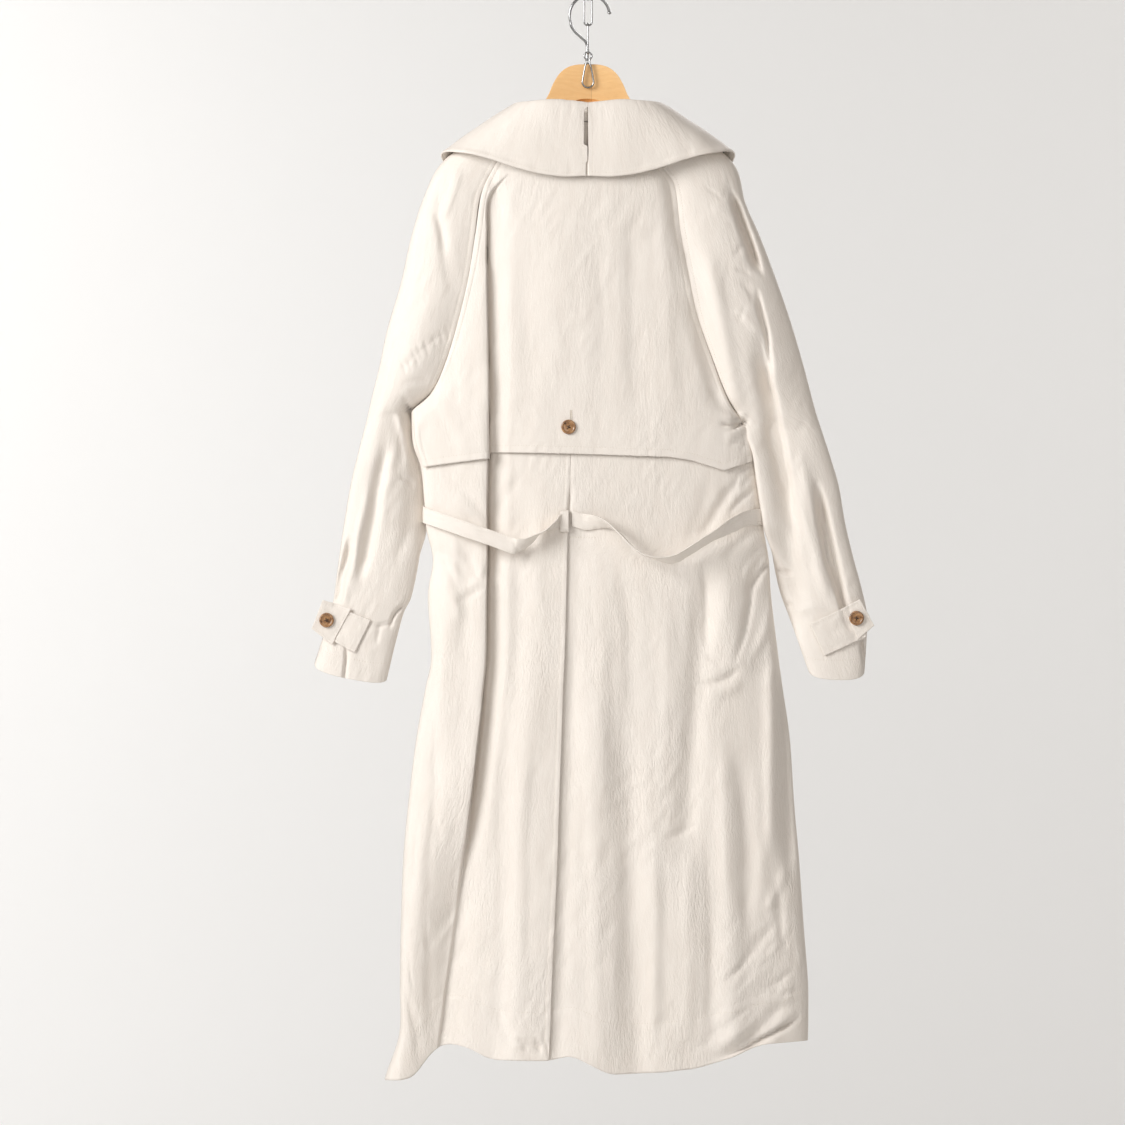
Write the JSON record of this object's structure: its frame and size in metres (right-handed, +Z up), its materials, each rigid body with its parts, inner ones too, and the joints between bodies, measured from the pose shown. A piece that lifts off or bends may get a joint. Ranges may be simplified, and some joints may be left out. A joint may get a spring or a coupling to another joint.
{
  "type": "trench coat on a wooden hanger and wall hook",
  "caption": "Long raglan trench coat with storm flap, vent, loose belt and wide collar, hung back outwards on a wooden hanger from a wall hook.",
  "frame": {"origin": "centre of the wall hook's plate, on the wall", "axes": "+Z up, +Y into the wall, +X to the right for someone who faces the wall and sees the coat's back"},
  "size_m": [0.7021, 0.1081, 1.4235],
  "materials": {
    "cloth": "light crinkled coat cloth, ecru",
    "horn": "mottled brown horn",
    "wood": "honey varnish, satin",
    "steel": "bright plated wire"
  },
  "bodies": {
    "coat": {"back_left": "cloth", "back_right": "cloth", "front_left": "cloth", "front_right": "cloth", "storm_flap": "cloth", "sleeve_left_back": "cloth", "sleeve_left_front": "cloth", "sleeve_right_back": "cloth", "sleeve_right_front": "cloth", "collar_left": "cloth", "collar_right": "cloth", "cuff_strap_left": "cloth", "cuff_strap_right": "cloth", "belt_left": "cloth", "belt_right": "cloth", "belt_keeper": "cloth", "button_flap": "horn", "button_cuff_left": "horn", "button_cuff_right": "horn", "button_front_1": "horn", "button_front_2": "horn", "button_front_3": "horn", "button_front_4": "horn", "hanger_bar": "wood", "hanger_hook": "steel", "wall_hook": "steel"},
    "upper_link": {"chain_link_upper": "steel"},
    "lower_link": {"chain_link_lower": "steel"},
    "clip": {"snap_clip": "steel"}
  },
  "joints": [
    {"name": "upper_link_swing", "type": "hinge", "parent": "coat", "child": "upper_link", "pos_m": [0, -0.056, -0.045], "axis": [0, 1, 0], "range_deg": [-25, 25]},
    {"name": "lower_link_swing", "type": "hinge", "parent": "upper_link", "child": "lower_link", "pos_m": [0, -0.056, -0.079], "axis": [1, 0, 0], "range_deg": [-40, 1.5]},
    {"name": "clip_swing", "type": "hinge", "parent": "lower_link", "child": "clip", "pos_m": [0, -0.056, -0.115], "axis": [0, 1, 0], "range_deg": [-25, 25]}
  ]
}
